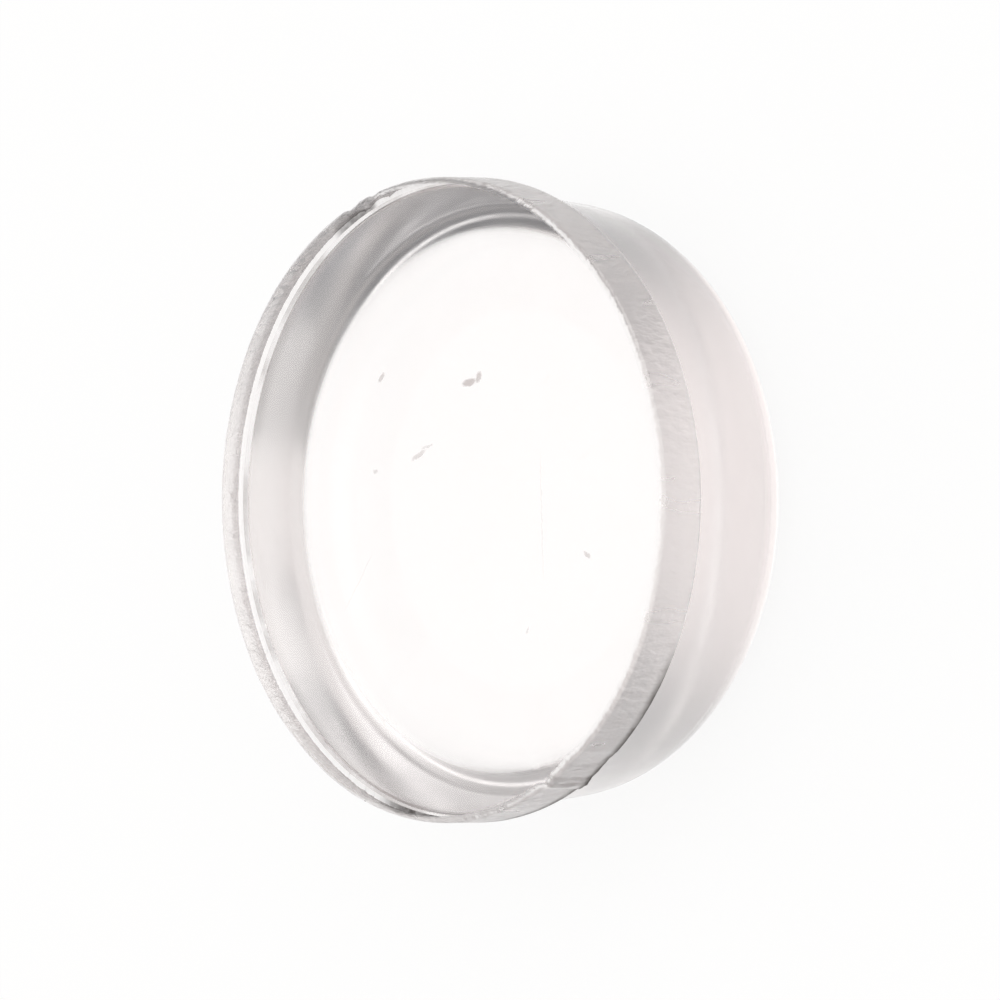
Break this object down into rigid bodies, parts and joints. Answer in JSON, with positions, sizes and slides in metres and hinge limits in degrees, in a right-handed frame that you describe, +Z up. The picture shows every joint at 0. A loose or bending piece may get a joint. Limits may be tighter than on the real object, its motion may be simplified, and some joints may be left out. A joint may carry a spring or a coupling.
{
  "type": "cabinet door bumper",
  "caption": "Clear round self-adhesive bumper pad, moulded in one piece with a thin cut foot, that cushions a cabinet door as it closes.",
  "frame": {"origin": "centre of the nose face, which the bumper lies on", "axes": "+Z points up, from the nose face that the door meets to the flat adhesive face; X and Y are alike on this round part"},
  "size_m": [0.0094, 0.0094, 0.0032],
  "materials": {
    "clear_polyurethane": "clear soft moulded polyurethane, glossy, with a finely scored cut edge on the foot"
  },
  "bodies": {
    "root": {"bumper_body": "clear_polyurethane"}
  },
  "joints": []
}
